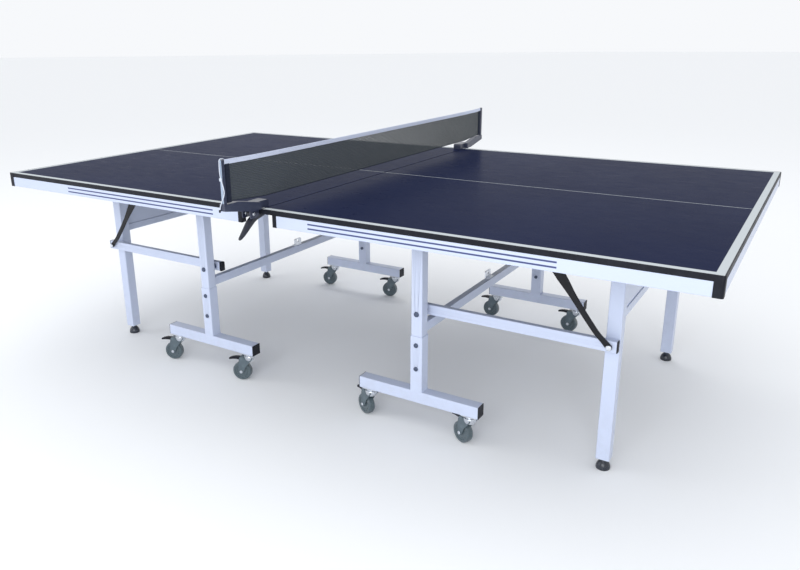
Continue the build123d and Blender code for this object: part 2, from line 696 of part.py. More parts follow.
# ---------------------------------------------------------------- write every node

for side in ("left", "right"):
    save_half(side, "panel", panel())
    save_half(side, "edge_trim", edge_trim(side))
    save_half(side, "top_frame", top_frame(side))
    save_half(side, "near_t_frame", t_frame())
    save_half(side, "far_t_frame", [other_side(solid) for solid in t_frame()])
    save_half(side, "cross_rail", cross_rail())
    save_half(side, "chassis_caps", chassis_caps())
    save_half(side, "chassis_fittings", chassis_fittings())
    save_half(side, "leg_frame", leg_frame())
    save_half(side, "feet", feet())
    save_half(side, "leg_bolts", leg_bolts())
    save_half(side, "arms", arms())
    save_half(side, "arm_caps", arm_caps())
    save_half(side, "struts", struts())

save_casters()

save("near_net_clamp", [net_clamp()])
save("far_net_clamp", [other_side(net_clamp())])
save("near_net_lever", [net_lever()])
save("far_net_lever", [other_side(net_lever())])
save("net_mesh", net_mesh())
save("net_band", net_band())
save("net_cord", net_cord())
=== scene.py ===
"""A full-size rollaway table tennis table in a pale studio.

Sections: camera and light, node-material helpers, materials, mesh helpers, then one section per group of
pieces. All positions are metres in the model's own frame: +X along the table, +Y across it, +Z up.
"""

import math

import bmesh
import bpy
from mathutils import Matrix, Vector


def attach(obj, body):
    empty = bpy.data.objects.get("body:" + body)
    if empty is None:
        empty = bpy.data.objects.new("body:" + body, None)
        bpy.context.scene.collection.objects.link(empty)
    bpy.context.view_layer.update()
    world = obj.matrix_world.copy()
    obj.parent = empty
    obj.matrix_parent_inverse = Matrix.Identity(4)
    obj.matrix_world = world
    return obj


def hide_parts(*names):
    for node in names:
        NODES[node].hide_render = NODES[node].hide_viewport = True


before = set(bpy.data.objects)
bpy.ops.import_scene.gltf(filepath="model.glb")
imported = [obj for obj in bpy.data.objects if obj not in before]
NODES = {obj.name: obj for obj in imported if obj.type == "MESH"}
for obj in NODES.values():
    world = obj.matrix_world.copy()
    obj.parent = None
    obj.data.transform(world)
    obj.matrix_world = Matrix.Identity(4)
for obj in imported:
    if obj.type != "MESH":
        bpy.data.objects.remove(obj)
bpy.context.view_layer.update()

# ---------------------------------------------------------------- sizes shared by several sections

TOP_Z = 0.760
HALF_LENGTH = 1.370
HALF_WIDTH = 0.7625
SIDES = {"left": -1, "right": 1}
ROWS = {"near": -1, "far": 1}
FULL_TURN = 2 * math.pi


# ---------------------------------------------------------------- camera, light and floor

def make_camera():
    """The photograph's camera: its place, its direction and its small shift."""
    azimuth, elevation, roll = math.radians(32.2), math.radians(17.3), math.radians(-0.6)
    back = Vector((
        math.sin(azimuth) * math.cos(elevation),
        -math.cos(azimuth) * math.cos(elevation),
        math.sin(elevation),
    ))
    level_right = (-back).cross(Vector((0, 0, 1))).normalized()
    level_up = level_right.cross(-back)
    right = level_right * math.cos(roll) + level_up * math.sin(roll)
    up = level_up * math.cos(roll) - level_right * math.sin(roll)
    data = bpy.data.cameras.new("camera")
    data.sensor_width = 36
    data.lens = 32.72
    data.shift_x = 0.028
    data.shift_y = -0.026
    data.clip_end = 60
    camera = bpy.data.objects.new("camera", data)
    bpy.context.scene.collection.objects.link(camera)
    turn = Matrix((right, up, back)).transposed().to_4x4()
    camera.matrix_world = Matrix.Translation((1.5338, -2.4981, 1.2821)) @ turn
    bpy.context.scene.camera = camera


def area_light(name, place, aim, size, power, colour=(1, 1, 1)):
    """One soft rectangular lamp pointed at a spot."""
    data = bpy.data.lights.new(name, "AREA")
    data.shape = "RECTANGLE"
    data.size, data.size_y = size
    data.energy = power
    data.color = colour
    lamp = bpy.data.objects.new(name, data)
    bpy.context.scene.collection.objects.link(lamp)
    direction = Vector(aim) - Vector(place)
    lamp.rotation_euler = direction.to_track_quat("-Z", "Y").to_euler()
    lamp.location = place


def make_sky():
    """An even pale sky."""
    world = bpy.data.worlds.new("studio")
    bpy.context.scene.world = world
    world.use_nodes = True
    sky = world.node_tree.nodes["Background"]
    sky.inputs["Color"].default_value = (0.96, 0.975, 1.0, 1)
    sky.inputs["Strength"].default_value = 0.97


def make_floor():
    """A pale floor that runs out to the horizon."""
    reach = 60
    corners = [(-reach, -reach, 0), (reach, -reach, 0), (reach, reach, 0), (-reach, reach, 0)]
    mesh = bpy.data.meshes.new("floor")
    mesh.from_pydata(corners, [], [(0, 1, 2, 3)])
    floor = bpy.data.objects.new("floor", mesh)
    bpy.context.scene.collection.objects.link(floor)
    material = bpy.data.materials.new("floor_paint")
    material.use_nodes = True
    paint = material.node_tree.nodes["Principled BSDF"]
    paint.inputs["Base Color"].default_value = (0.94, 0.95, 0.96, 1)
    paint.inputs["Roughness"].default_value = 0.85
    paint.inputs["Specular IOR Level"].default_value = 0.1
    mesh.materials.append(material)


def make_studio():
    """The sky, the floor and three soft lamps, of which the main one stands low behind the camera."""
    make_sky()
    make_floor()
    area_light("key", (1.6, -4.6, 2.0), (0, 0, 0.5), (3.4, 2.0), 100, (0.93, 0.96, 1.0))
    area_light("fill", (-4.2, -2.6, 1.8), (0, 0, 0.5), (2.6, 2.2), 30, (0.92, 0.95, 1.0))
    area_light("rim", (-1.5, 3.2, 5.0), (0, 0, 0.7), (3.0, 1.6), 30)
    bpy.context.scene.view_settings.view_transform = "Standard"


# ---------------------------------------------------------------- node-material helpers

class Shader:
    """A material under construction: short calls that add and link its nodes."""

    def __init__(self, name):
        self.material = bpy.data.materials.new(name)
        self.material.use_nodes = True
        self.tree = self.material.node_tree
        self.surface = self.tree.nodes["Principled BSDF"]
        self.place = self.tree.nodes.new("ShaderNodeTexCoord").outputs["Object"]
        split = self.tree.nodes.new("ShaderNodeSeparateXYZ")
        self.tree.links.new(self.place, split.inputs[0])
        self.x, self.y, self.z = split.outputs

    def feed(self, socket, value):
        """Link a node's output to a socket, or set the socket to a constant."""
        if isinstance(value, bpy.types.NodeSocket):
            self.tree.links.new(value, socket)
        else:
            socket.default_value = value

    def math(self, operation, first, second=0.0, third=0.0):
        """One of Blender's math nodes."""
        node = self.tree.nodes.new("ShaderNodeMath")
        node.operation = operation
        for socket, value in zip(node.inputs, (first, second, third)):
            self.feed(socket, value)
        return node.outputs[0]

    def noise(self, scale, detail=3.0, rough=0.55, stretch=(1, 1, 1)):
        """Soft noise; stretch scales each axis first, so (1, 1, 0.05) makes streaks along Z."""
        mapping = self.tree.nodes.new("ShaderNodeMapping")
        mapping.inputs["Scale"].default_value = stretch
        self.tree.links.new(self.place, mapping.inputs["Vector"])
        node = self.tree.nodes.new("ShaderNodeTexNoise")
        node.inputs["Scale"].default_value = scale
        node.inputs["Detail"].default_value = detail
        node.inputs["Roughness"].default_value = rough
        self.tree.links.new(mapping.outputs[0], node.inputs["Vector"])
        return node.outputs["Fac"]

    def cells(self, scale):
        """Distance to the middle of the nearest of many random cells."""
        node = self.tree.nodes.new("ShaderNodeTexVoronoi")
        node.feature = "F1"
        node.inputs["Scale"].default_value = scale
        self.tree.links.new(self.place, node.inputs["Vector"])
        return node.outputs["Distance"]

    def ramp(self, value, low, high, low_to=0.0, high_to=1.0):
        """Map a range of values to another, held at both ends."""
        node = self.tree.nodes.new("ShaderNodeMapRange")
        self.feed(node.inputs["Value"], value)
        limits = {"From Min": low, "From Max": high, "To Min": low_to, "To Max": high_to}
        for name, number in limits.items():
            node.inputs[name].default_value = number
        return node.outputs["Result"]

    def band(self, value, low, high, soft=0.0004):
        """1 between two positions along an axis, 0 outside them."""
        rise = self.ramp(value, low - soft, low + soft)
        fall = self.ramp(value, high - soft, high + soft, 1.0, 0.0)
        return self.math("MULTIPLY", rise, fall)

    def either(self, first, second):
        """1 where at least one mask is 1."""
        return self.math("MAXIMUM", first, second)

    def both(self, first, second):
        """1 where both masks are 1."""
        return self.math("MULTIPLY", first, second)

    def mix(self, amount, first, second):
        """Blend two colours, each a node output or (r, g, b)."""
        node = self.tree.nodes.new("ShaderNodeMix")
        node.data_type = "RGBA"
        self.feed(node.inputs["Factor"], amount)
        for socket, colour in ((node.inputs["A"], first), (node.inputs["B"], second)):
            self.feed(socket, colour if isinstance(colour, bpy.types.NodeSocket) else (*colour, 1))
        return node.outputs["Result"]

    def colour(self, value):
        """Set the base colour from a node's output or (r, g, b)."""
        linked = isinstance(value, bpy.types.NodeSocket)
        self.feed(self.surface.inputs["Base Color"], value if linked else (*value, 1))

    def set(self, **sockets):
        """Set shader sockets by name, with _ for a space: set(Roughness=0.4, Coat_Weight=0.2)."""
        for name, value in sockets.items():
            self.feed(self.surface.inputs[name.replace("_", " ")], value)

    def bump(self, height, strength, distance):
        """Fine relief from a height, without changing the mesh."""
        node = self.tree.nodes.new("ShaderNodeBump")
        node.inputs["Strength"].default_value = strength
        node.inputs["Distance"].default_value = distance
        self.feed(node.inputs["Height"], height)
        self.feed(self.surface.inputs["Normal"], node.outputs[0])


# ---------------------------------------------------------------- materials

NAVY_INK = (0.035, 0.05, 0.16)
DARK_ZINC = (0.60, 0.63, 0.68)
BRIGHT_ZINC = (0.74, 0.77, 0.82)
END_LINE_WIDTH = 0.0235
CENTRE_LINE_HALF = 0.0016
STRIPE_HEIGHTS = ((0.7295, 0.7345), (0.7155, 0.7205))
STRIPE_REACHES = ((0.185, 0.979), (-0.990, -0.215))     # along the right apron, along the left apron
CLAMP_POST_OUTER = 0.932


def board_material():
    """Satin navy table paint with white lines, a black edge and a dull underside."""
    m = Shader("board_paint")
    away = m.math("ABSOLUTE", m.x)
    aside = m.math("ABSOLUTE", m.y)
    side_line = m.band(aside, HALF_WIDTH - END_LINE_WIDTH, HALF_WIDTH)
    end_line = m.band(away, HALF_LENGTH - END_LINE_WIDTH, HALF_LENGTH)
    centre_line = m.band(aside, -1.0, CENTRE_LINE_HALF)
    lines = m.either(m.either(side_line, end_line), centre_line)
    on_top = m.ramp(m.z, TOP_Z - 0.0008, TOP_Z - 0.0002)
    cloud = m.noise(2.2, 4)
    navy = m.mix(m.ramp(cloud, 0.3, 0.7), (0.0085, 0.0135, 0.046), (0.0115, 0.0175, 0.055))
    wear = m.ramp(m.noise(60, 6, 0.7), 0.66, 0.8)
    white = m.mix(wear, (0.56, 0.60, 0.62), (0.42, 0.45, 0.50))
    under = m.mix(m.noise(180, 4), (0.020, 0.022, 0.032), (0.035, 0.038, 0.050))
    m.colour(m.mix(on_top, under, m.mix(lines, navy, white)))
    grain = m.noise(900, 2)
    scuffs = m.noise(14, 8, 0.75, (1, 3, 1))
    rough = m.ramp(m.math("ADD", scuffs, m.math("MULTIPLY", grain, 0.3)), 0.4, 0.95, 0.24, 0.38)
    m.set(Roughness=rough, Specular_IOR_Level=0.005)
    m.bump(grain, 0.25, 0.0002)
    return m.material


def powder_coat(name, stripes=False):
    """Slightly lilac white powder coat with orange peel; the aprons carry two thin navy stripes."""
    m = Shader(name)
    cloud = m.noise(3.5, 4)
    white = m.mix(cloud, (0.50, 0.555, 0.71), (0.55, 0.605, 0.75))
    low = m.ramp(m.z, 0.02, 0.30, 1.0, 0.0)
    dust = m.both(low, m.ramp(m.noise(22, 6, 0.7), 0.45, 0.75))
    paint = m.mix(m.math("MULTIPLY", dust, 0.35), white, (0.38, 0.39, 0.44))
    if stripes:
        rows = m.either(*(m.band(m.z, low, high) for low, high in STRIPE_HEIGHTS))
        along = m.either(*(m.band(m.x, low, high) for low, high in STRIPE_REACHES))
        outside = m.ramp(m.math("ABSOLUTE", m.y), HALF_WIDTH - 0.0012, HALF_WIDTH - 0.0006)
        ink = m.both(m.both(rows, along), outside)
        paint = m.mix(ink, paint, NAVY_INK)
    m.colour(paint)
    peel = m.noise(420, 3, 0.5)
    m.set(Roughness=m.ramp(peel, 0.3, 0.7, 0.28, 0.42))
    m.set(Coat_Weight=0.15, Coat_Roughness=0.15)
    m.bump(peel, 0.30, 0.0003)
    return m.material


def moulded_plastic(name, dark, light, roughness=0.42, gloss=0.2):
    """Injection-moulded plastic: fine spark-eroded grain and faint scuffs."""
    m = Shader(name)
    m.colour(m.mix(m.ramp(m.noise(40, 5, 0.65), 0.45, 0.8), dark, light))
    grain = m.noise(1500, 2)
    m.set(Roughness=m.ramp(m.noise(25, 6), 0.3, 0.8, roughness, roughness + 0.2), Specular_IOR_Level=gloss)
    m.bump(grain, 0.35, 0.0002)
    return m.material


def zinc_plate():
    """Bright zinc plating with a faint spangle and brushed streaks."""
    m = Shader("zinc_plate")
    spangle = m.cells(160)
    m.colour(m.mix(m.ramp(spangle, 0.0, 0.9), DARK_ZINC, BRIGHT_ZINC))
    streaks = m.noise(120, 4, 0.6, (1, 1, 0.1))
    m.set(Metallic=1.0, Roughness=m.ramp(streaks, 0.3, 0.7, 0.20, 0.40))
    m.bump(streaks, 0.15, 0.0002)
    return m.material


def fitting_plate():
    """Zinc-plated fittings, except the posts' bolts and nuts, which are blackened steel."""
    m = Shader("fitting_plate")
    high = m.ramp(m.z, 0.200, 0.205)
    at_posts = m.ramp(m.math("ABSOLUTE", m.y), 0.30, 0.31)
    black = m.both(high, at_posts)
    spangle = m.cells(160)
    zinc = m.mix(m.ramp(spangle, 0.0, 0.9), DARK_ZINC, BRIGHT_ZINC)
    m.colour(m.mix(black, zinc, (0.075, 0.095, 0.15)))
    streaks = m.noise(120, 4, 0.6, (1, 1, 0.1))
    m.set(Metallic=m.ramp(black, 0.0, 1.0, 1.0, 0.5), Roughness=m.ramp(streaks, 0.3, 0.7, 0.22, 0.40))
    m.bump(streaks, 0.15, 0.0002)
    return m.material


def clamp_paint():
    """Dark navy paint, rubbed lighter in patches; a pale blue-grey strip on the upper part of the posts'
    outer faces is a painted reflection of the bright sky.
    """
    m = Shader("clamp_paint")
    navy = m.mix(m.ramp(m.noise(30, 6, 0.7), 0.5, 0.85), (0.024, 0.030, 0.060), (0.05, 0.06, 0.10))
    outward = m.ramp(m.math("ABSOLUTE", m.y), CLAMP_POST_OUTER - 0.0008, CLAMP_POST_OUTER - 0.0003)
    upper = m.ramp(m.z, 0.808, 0.812)
    # painted reflection: the pale blue-grey on the upper outer face stands in for sky mirrored in the glossy
    # navy paint
    m.colour(m.mix(m.both(outward, upper), navy, (0.30, 0.37, 0.48)))
    m.set(Roughness=m.ramp(m.noise(70, 5), 0.3, 0.7, 0.30, 0.45))
    m.set(Coat_Weight=0.3, Coat_Roughness=0.2)
    m.bump(m.noise(500, 2), 0.2, 0.0002)
    return m.material


def painted_steel(name, dark, light, roughness):
    """Smooth dark paint on steel, rubbed a little lighter in patches."""
    m = Shader(name)
    m.colour(m.mix(m.ramp(m.noise(30, 6, 0.7), 0.5, 0.85), dark, light))
    m.set(Roughness=m.ramp(m.noise(70, 5), 0.3, 0.7, roughness, roughness + 0.15))
    m.set(Specular_IOR_Level=0.3)
    m.bump(m.noise(500, 2), 0.2, 0.0002)
    return m.material


def wheel_rubber():
    """Grey wheel plastic with moulding swirls and a thin gloss."""
    m = Shader("wheel_grey")
    swirl = m.noise(50, 5, 0.6)
    m.colour(m.mix(swirl, (0.045, 0.066, 0.078), (0.095, 0.130, 0.148)))
    m.set(Roughness=m.ramp(m.noise(180, 4), 0.3, 0.7, 0.22, 0.42))
    m.set(Coat_Weight=0.4, Coat_Roughness=0.12)
    m.bump(m.noise(350, 3), 0.2, 0.0003)
    return m.material


def net_thread():
    """Dark blue-green nylon thread."""
    m = Shader("net_thread")
    twist = m.noise(900, 3, 0.6)
    m.colour(m.mix(twist, (0.014, 0.022, 0.027), (0.036, 0.052, 0.060)))
    m.set(Roughness=0.7, Sheen_Weight=0.3)
    m.bump(twist, 0.4, 0.0004)
    return m.material


def woven_tape(name, dark, light, ribs_per_metre=900.0, sheen=0.25):
    """Woven cotton or nylon tape: crossing ribs."""
    m = Shader(name)
    along = m.math("SINE", m.math("MULTIPLY", m.y, ribs_per_metre * FULL_TURN))
    across = m.math("SINE", m.math("MULTIPLY", m.z, ribs_per_metre * FULL_TURN))
    weave = m.math("MULTIPLY", along, across)
    m.colour(m.mix(m.ramp(weave, -1, 1), dark, light))
    m.set(Roughness=0.85, Sheen_Weight=sheen, Specular_IOR_Level=0.25)
    m.bump(weave, 0.5, 0.0003)
    return m.material


MATERIALS = {
    "board": board_material(),
    "apron": powder_coat("apron_paint", stripes=True),
    "white": powder_coat("white_powder_coat"),
    "black": moulded_plastic("black_plastic", (0.008, 0.009, 0.014), (0.022, 0.023, 0.032)),
    "lever": moulded_plastic("lever_plastic", (0.012, 0.014, 0.024), (0.030, 0.033, 0.050), 0.22, 0.5),
    "trim": moulded_plastic("edge_trim_plastic", (0.006, 0.007, 0.012), (0.014, 0.015, 0.024), 0.40),
    "zinc": zinc_plate(),
    "black_steel": painted_steel("black_steel", (0.0035, 0.0035, 0.006), (0.010, 0.010, 0.014), 0.34),
    "fittings": fitting_plate(),
    "clamp": clamp_paint(),
    "foot": moulded_plastic("foot_plastic", (0.020, 0.024, 0.034), (0.045, 0.052, 0.070), 0.18, 0.5),
    "wheel": wheel_rubber(),
    "net": net_thread(),
    "sleeve": woven_tape("net_sleeve_tape", (0.005, 0.008, 0.020), (0.012, 0.017, 0.038), sheen=0.04),
    "tape": woven_tape("white_net_tape", (0.50, 0.55, 0.70), (0.64, 0.69, 0.84)),
    "cord": woven_tape("white_braided_cord", (0.50, 0.54, 0.64), (0.72, 0.76, 0.84), 600.0),
    "thread": woven_tape("white_sewing_thread", (0.55, 0.60, 0.72), (0.74, 0.78, 0.88), 1800.0),
    # painted shade: the fork cheeks are zinc like the swivel cup, given a dark matt colour that stands in
    # for the shade under the table
    "shaded_fork_zinc": painted_steel("fork_zinc_painted_shade", (0.095, 0.125, 0.145), (0.16, 0.20, 0.225), 0.30),
}

NODE_MATERIALS = {
    "panel": "board",
    "edge_trim": "trim",
    "top_frame": "apron",
    "near_t_frame": "white",
    "far_t_frame": "white",
    "cross_rail": "white",
    "chassis_caps": "black",
    "chassis_fittings": "fittings",
    "leg_frame": "white",
    "feet": "foot",
    "leg_bolts": "zinc",
    "arms": "white",
    "arm_caps": "black",
    "struts": "black_steel",
    "fork": "zinc",
    "wheel": "wheel",
    "pedal": "black",
    "net_clamp": "clamp",
    "net_lever": "black",
    "net_mesh": "net",
    "net_band": "tape",
    "net_cord": "tape",
}


def paint_cad_nodes():
    """Give every CAD node its material, and a fine bevel that catches the light on its edges."""
    for name, node in NODES.items():
        kind = next(key for key in sorted(NODE_MATERIALS, key=len, reverse=True) if name.endswith(key))
        node.data.materials.clear()
        node.data.materials.append(MATERIALS[NODE_MATERIALS[kind]])
        weld = node.modifiers.new("weld", "WELD")
        weld.merge_threshold = 0.00001
        bevel = node.modifiers.new("edge", "BEVEL")
        bevel.width = 0.0006
        bevel.segments = 2
        bevel.limit_method = "ANGLE"
        bevel.angle_limit = math.radians(40)
        bevel.harden_normals = False


# ---------------------------------------------------------------- mesh helpers

def ring(radius, height, sides):
    """A level circle of points about Z; radius 0 gives the single point on the axis."""
    if radius == 0:
        return [Vector((0, 0, height))]
    angles = [FULL_TURN * k / sides for k in range(sides)]
    return [Vector((radius * math.cos(angle), radius * math.sin(angle), height)) for angle in angles]


def skin(bm, rings, closed=False):
    """Join each ring of points to the next; the two ends get caps unless the last ring meets the first."""
    rings = [[bm.verts.new(point) for point in points] for points in rings]
    pairs = list(zip(rings, rings[1:]))
    if closed:
        pairs.append((rings[-1], rings[0]))
    for lower, upper in pairs:
        for k in range(max(len(lower), len(upper))):
            corners = [
                lower[k % len(lower)],
                lower[(k + 1) % len(lower)],
                upper[(k + 1) % len(upper)],
                upper[k % len(upper)],
            ]
            bm.faces.new(list(dict.fromkeys(corners)))
    if not closed:
        for points in (rings[0], rings[-1]):
            if len(points) > 2:
                bm.faces.new(points)


def lathe(bm, profile, place=Matrix(), sides=40, closed=False):
    """Spin (radius, height) pairs about Z, then put the result in its place."""
    rings = [ring(radius, height, sides) for radius, height in profile]
    skin(bm, [[place @ point for point in points] for points in rings], closed)


def tube(bm, points, radius, sides=8, closed=False):
    """A round bar along a line of points."""
    count = len(points)
    rings = []
    normal = None
    for k, point in enumerate(points):
        before = points[k - 1] if k or closed else point
        after = points[(k + 1) % count] if k + 1 < count or closed else point
        tangent = (after - before).normalized()
        normal = normal or tangent.orthogonal()
        normal = (normal - tangent * normal.dot(tangent)).normalized()
        side = tangent.cross(normal)
        angles = [FULL_TURN * step / sides for step in range(sides)]
        rings.append([point + (normal * math.cos(a) + side * math.sin(a)) * radius for a in angles])
    skin(bm, rings, closed)


def strand(bm, points, across, half_x):
    """A flat thread: a small box section along a line of points; across is half its width, as a vector."""
    x = Vector((half_x, 0, 0))
    skin(bm, [[p - x - across, p + x - across, p + x + across, p - x + across] for p in points])


def squared_off(value, power):
    """A sine or cosine pushed outwards, so that a circle becomes a rounded box. A lower power is boxier."""
    return math.copysign(abs(value) ** power, value)


def plate(bm, outline, low, high, edge=0.0004):
    """A flat plate from an outline in X and Z, between two Y values, with softened edges."""
    middle = sum((Vector(point) for point in outline), Vector((0, 0))) / len(outline)
    shrunk = [Vector(point) + (middle - Vector(point)).normalized() * edge for point in outline]
    layers = ((low, shrunk), (low + edge, outline), (high - edge, outline), (high, shrunk))
    skin(bm, [[Vector((x, y, z)) for x, z in points] for y, points in layers])


def make_piece(name, build, material, body, place=None, replaces=(), sharp=40):
    """Build one mesh piece, shade it, paint it and let it ride on its body."""
    bm = bmesh.new()
    build(bm)
    bmesh.ops.recalc_face_normals(bm, faces=bm.faces)
    mesh = bpy.data.meshes.new(name)
    bm.to_mesh(mesh)
    bm.free()
    mesh.shade_smooth()
    mesh.set_sharp_from_angle(angle=math.radians(sharp))
    mesh.materials.append(MATERIALS[material])
    piece = bpy.data.objects.new(name, mesh)
    bpy.context.scene.collection.objects.link(piece)
    if place:
        piece.matrix_world = place
    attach(piece, body)
    if replaces:
        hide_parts(*replaces)
    return piece


# ---------------------------------------------------------------- the net's tension cord

CORD_RADIUS = 0.0015
CORD_Y = -0.9348
KNOT_HEIGHT = 0.8835
CORD_ROUTE = [
    (0, -0.9172, 0.9436),
    (0, -0.9235, 0.9447),
    (0, -0.9306, 0.9446),
    (0, CORD_Y, 0.9406),
    (-0.0004, CORD_Y, 0.930),
    (-0.0015, CORD_Y, 0.911),
    (0.001, CORD_Y, 0.887),
    (0.009, CORD_Y, 0.864),
    (0.013, CORD_Y, 0.842),
    (0.003, CORD_Y, 0.822),
    (-0.008, CORD_Y, 0.803),
    (-0.012, CORD_Y, 0.786),
]


def cord_knot(bm):
    """A pulled-tight overhand knot: a small trefoil of the same cord."""
    size = CORD_RADIUS
    steps = 48
    points = []
    for k in range(steps):
        turn = FULL_TURN * k / steps
        points.append(Vector((
            size * (math.sin(turn) + 2 * math.sin(2 * turn)),
            -size * 0.8 * math.sin(3 * turn),
            size * (math.cos(turn) - 2 * math.cos(2 * turn)),
        )))
    tube(bm, points, CORD_RADIUS, 8, closed=True)


def cord_toggle(bm):
    """The little dark barrel at the cord's free end."""
    profile = [
        (0, -0.0045),
        (0.0022, -0.0045),
        (0.0030, -0.0036),
        (0.0031, 0.0030),
        (0.0024, 0.0042),
        (0, 0.0045),
    ]
    lathe(bm, profile, sides=24)


def make_tension_cord():
    """The white cord over the near post and slack down its outer side, with its knot and toggle."""
    curve = bpy.data.curves.new("net_tension_cord", "CURVE")
    curve.dimensions = "3D"
    curve.bevel_depth = CORD_RADIUS
    curve.bevel_resolution = 3
    curve.use_fill_caps = True
    spline = curve.splines.new("NURBS")
    spline.points.add(len(CORD_ROUTE) - 1)
    for point, place in zip(spline.points, CORD_ROUTE):
        point.co = (*place, 1)
    spline.order_u = 3
    spline.use_endpoint_u = True
    curve.materials.append(MATERIALS["cord"])
    cord = bpy.data.objects.new("net_tension_cord", curve)
    bpy.context.scene.collection.objects.link(cord)
    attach(cord, "left_top")
    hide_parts("net_cord")
    knot_place = Matrix.Translation((0.0005, CORD_Y, KNOT_HEIGHT))
    knot = make_piece("net_cord_knot", cord_knot, "cord", "left_top", knot_place)
    toggle_place = Matrix.Translation(CORD_ROUTE[-1])
    toggle = make_piece("net_cord_toggle", cord_toggle, "black", "left_top", toggle_place)


# ---------------------------------------------------------------- net

NET_REACH = 0.894         # half the mesh's length
SLEEVE_REACH = 0.914
LEVEL_REACH = 0.7405      # the net's bottom runs level this far out, then rises to the clamps
NET_BOTTOM = 0.800
NET_END_RISE = 0.012
BAND_HEIGHT = 0.0145
BAND_REACH = 0.916
BAND_HALF_DEPTH = 0.0020
SLEEVE_HALF_DEPTH = 0.0032
THREAD_PITCH = 0.0053
THREAD_HALF_WIDTH = 0.00095
THREAD_HALF_DEPTH = 0.00072


def band_top(y):
    """Height of the band's top edge: highest at the posts, a little slack between them."""
    return 0.9378 + 0.0036 * (abs(y) / BAND_REACH) ** 8


def net_bottom(y):
    """Height of the net's lower edge."""
    rise = max(0.0, (abs(y) - LEVEL_REACH) / (NET_REACH - LEVEL_REACH))
    return NET_BOTTOM + NET_END_RISE * rise


def even_steps(low, high, count):
    """count + 1 evenly spaced values from low to high."""
    return [low + (high - low) * k / count for k in range(count + 1)]


def net_height(y, share):
    """A height on the net, from its lower edge (0) to just inside the band (1)."""
    bottom = net_bottom(y)
    return bottom + (band_top(y) - BAND_HEIGHT + 0.003 - bottom) * share


def net_threads(bm):
    """Every upright and level thread of the net, each a flat nylon strand."""
    uprights = round(2 * NET_REACH / THREAD_PITCH)
    wide = Vector((0, THREAD_HALF_WIDTH, 0))
    for y in even_steps(-NET_REACH, NET_REACH, uprights):
        points = [Vector((0, y, net_height(y, share))) for share in even_steps(0, 1, 4)]
        strand(bm, points, wide, THREAD_HALF_DEPTH)
    rows = round((band_top(0) - BAND_HEIGHT - NET_BOTTOM) / THREAD_PITCH)
    tall = Vector((0, 0, THREAD_HALF_WIDTH))
    for share in even_steps(0, 1, rows)[:-1]:
        points = [Vector((0, y, net_height(y, share))) for y in even_steps(-NET_REACH, NET_REACH, 72)]
        strand(bm, points, tall, THREAD_HALF_DEPTH)


def net_band(bm):
    """A folded tape over the net's top: two hanging flaps, open below."""
    wall = 0.0007
    half = BAND_HALF_DEPTH
    outside = [(-half, -BAND_HEIGHT), (-half, -0.0012), (-0.0014, -0.0003), (0, 0)]
    outside += [(-x, z) for x, z in reversed(outside[:-1])]
    inside = [(x * (half - wall) / half, z - wall) for x, z in reversed(outside[1:-1])]
    inside = [(half - wall, -BAND_HEIGHT)] + inside + [(wall - half, -BAND_HEIGHT)]
    rings = []
    for y in even_steps(-BAND_REACH, BAND_REACH, 240):
        ripple = 0.00022 * math.sin(y * 61) + 0.00015 * math.sin(y * 143 + 1)
        top = band_top(y)
        rings.append([Vector((x - ripple * z / BAND_HEIGHT, y, top + z)) for x, z in outside + inside])
    skin(bm, rings)


def band_stitches(bm):
    """Two rows of short stitches through the band, near its lower edge, on both faces."""
    half_length = 0.0014
    thread = 0.00022
    reach = BAND_REACH - 0.006
    for face in (-1, 1):
        surface = face * (BAND_HALF_DEPTH + 0.00008)
        crown = face * (BAND_HALF_DEPTH + 0.00030)
        for drop in (0.0024, 0.0122):
            for y in even_steps(-reach, reach, 420):
                z = band_top(y) - drop
                first = Vector((surface, y - half_length, z))
                last = Vector((surface, y + half_length, z))
                tube(bm, [first, Vector((crown, y, z)), last], thread, 4)


def end_sleeve(sign):
    """The flat cloth sleeve at one end of the net, creased where the net pulls on it."""
    def build(bm):
        rings = []
        middle = sign * (NET_REACH + SLEEVE_REACH) / 2
        half_width = (SLEEVE_REACH - NET_REACH) / 2
        for z in even_steps(0.809, 0.9275, 48):
            crease = 0.0006 * math.sin(z * 260) + 0.0004 * math.sin(z * 611 + 2)
            outline = []
            for k in range(28):
                angle = FULL_TURN * k / 28
                across, depth = math.cos(angle), math.sin(angle)
                y = half_width * squared_off(across, 0.7)
                x = SLEEVE_HALF_DEPTH * squared_off(depth, 0.6) + crease * (1 - abs(across))
                outline.append(Vector((x, middle + y, z)))
            rings.append(outline)
        skin(bm, rings)
        seam_y = sign * (NET_REACH + 0.0035)
        for face in (-1, 1):
            for z in even_steps(0.812, 0.925, 28):
                x = face * (SLEEVE_HALF_DEPTH + 0.0001)
                tube(bm, [Vector((x, seam_y, z + end)) for end in (-0.0013, 0.0013)], 0.00025, 4)
    return build


def bottom_cord(bm):
    """The cord sewn along the net's lower edge."""
    reach = SLEEVE_REACH - 0.004
    points = [Vector((0, y, net_bottom(y) + 0.0005)) for y in even_steps(-reach, reach, 160)]
    tube(bm, points, CORD_RADIUS, 10)


def make_net():
    """Threads, band, stitches, sleeves and bottom cord, all riding on the left half with the clamps."""
    net = make_piece("net_cloth", net_threads, "net", "left_top", replaces=["net_mesh"])
    band = make_piece("net_top_band", net_band, "tape", "left_top", replaces=["net_band"])
    extras = [
        make_piece("net_band_stitches", band_stitches, "thread", "left_top"),
        make_piece("net_bottom_cord", bottom_cord, "sleeve", "left_top"),
    ]
    for row, sign in ROWS.items():
        extras.append(make_piece(f"{row}_net_sleeve", end_sleeve(sign), "sleeve", "left_top"))


# ---------------------------------------------------------------- clamp hardware

CLAMP_PIN_Y = 0.790
CLAMP_PIN_Z = 0.748
LEVER_X = -0.0255
LEVER_BORE = 0.00405
STRUT_Y = (0.5255, 0.5305)


